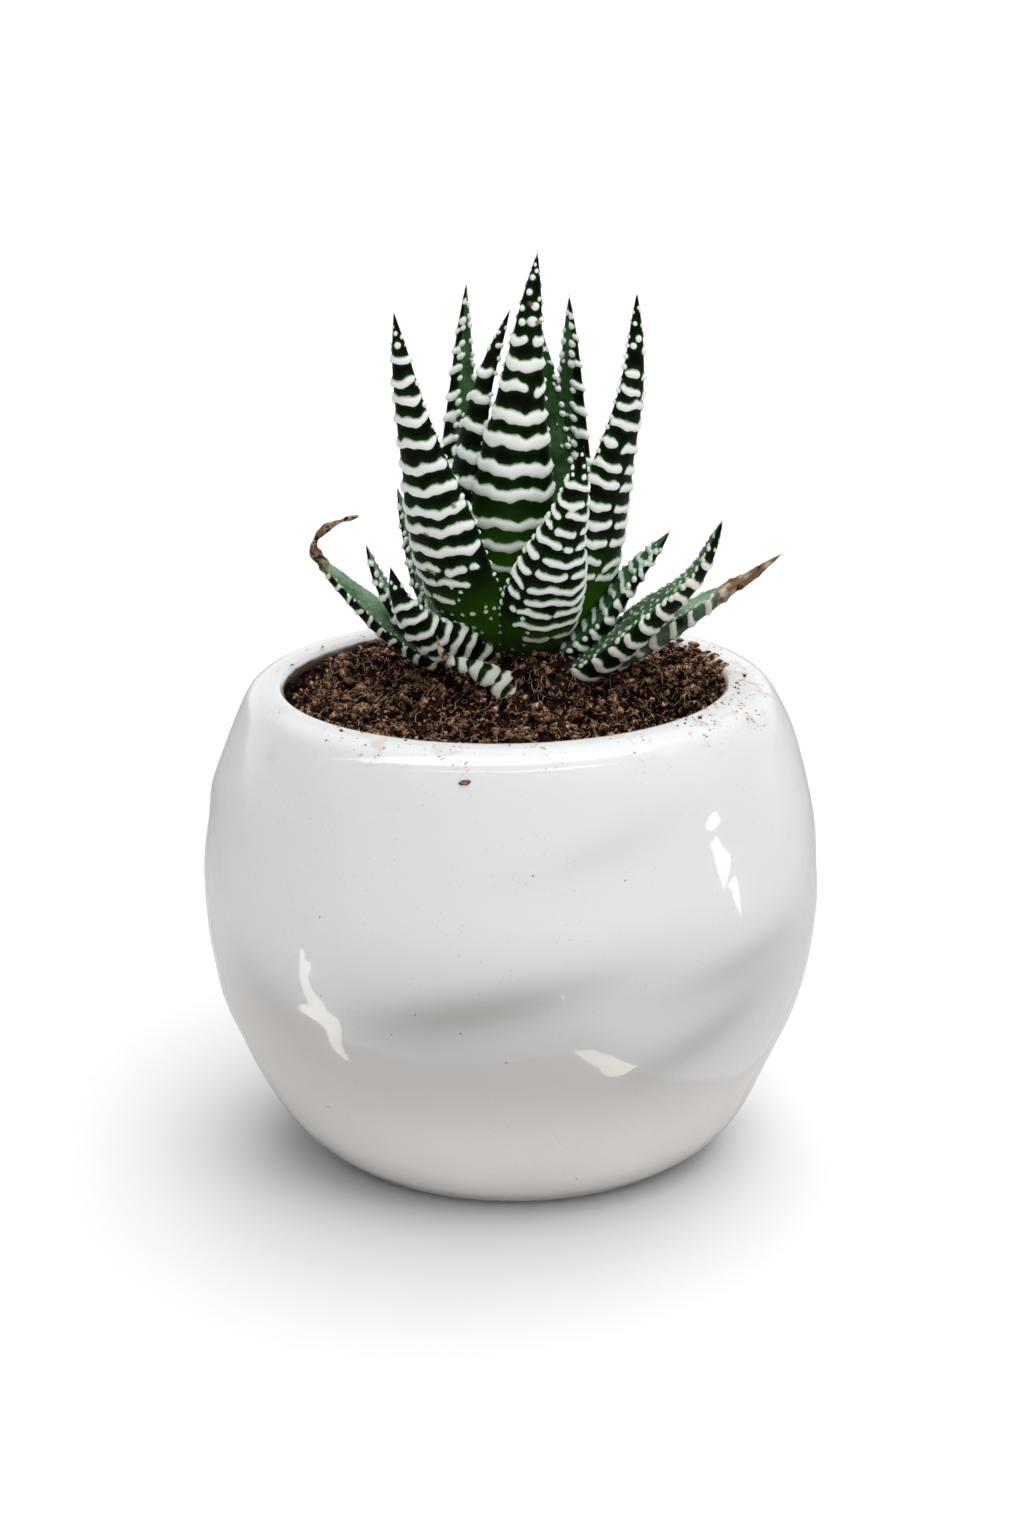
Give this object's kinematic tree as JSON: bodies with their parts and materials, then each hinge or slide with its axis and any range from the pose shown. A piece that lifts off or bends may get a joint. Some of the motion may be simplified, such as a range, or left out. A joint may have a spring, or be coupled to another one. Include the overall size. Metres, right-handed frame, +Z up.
{
  "type": "potted haworthia",
  "caption": "Zebra haworthia rosette with raised white bands, in potting soil in a round white glazed pot.",
  "frame": {"origin": "middle of the pot's foot, on the surface that the pot stands on", "axes": "+Z up, -Y towards the front of the plant as pictured, +X to its right"},
  "size_m": [0.0928, 0.0928, 0.1386],
  "materials": {
    "glazed_pot": "gloss",
    "potting_soil": "matte",
    "stem_and_roots": "matte",
    "leaf": "satin"
  },
  "bodies": {
    "root": {"pot": "glazed_pot", "soil": "potting_soil", "stem_with_roots": "stem_and_roots", "leaf_centre": "leaf", "leaf_left_inner": "leaf", "leaf_back_left": "leaf", "leaf_back_inner": "leaf", "leaf_back_right": "leaf", "leaf_front_left": "leaf", "leaf_right": "leaf", "leaf_front_right": "leaf", "leaf_left_small": "leaf", "leaf_right_low_1": "leaf", "leaf_right_low_2": "leaf", "leaf_right_dried": "leaf", "leaf_left_curled": "leaf", "leaf_left_low": "leaf", "leaf_left_dried": "leaf", "leaf_stub": "leaf", "leaf_rear_middle": "leaf", "leaf_rear_right": "leaf", "leaf_rear_left": "leaf", "leaf_rear_low_right": "leaf", "leaf_rear_low_left": "leaf"}
  },
  "joints": []
}
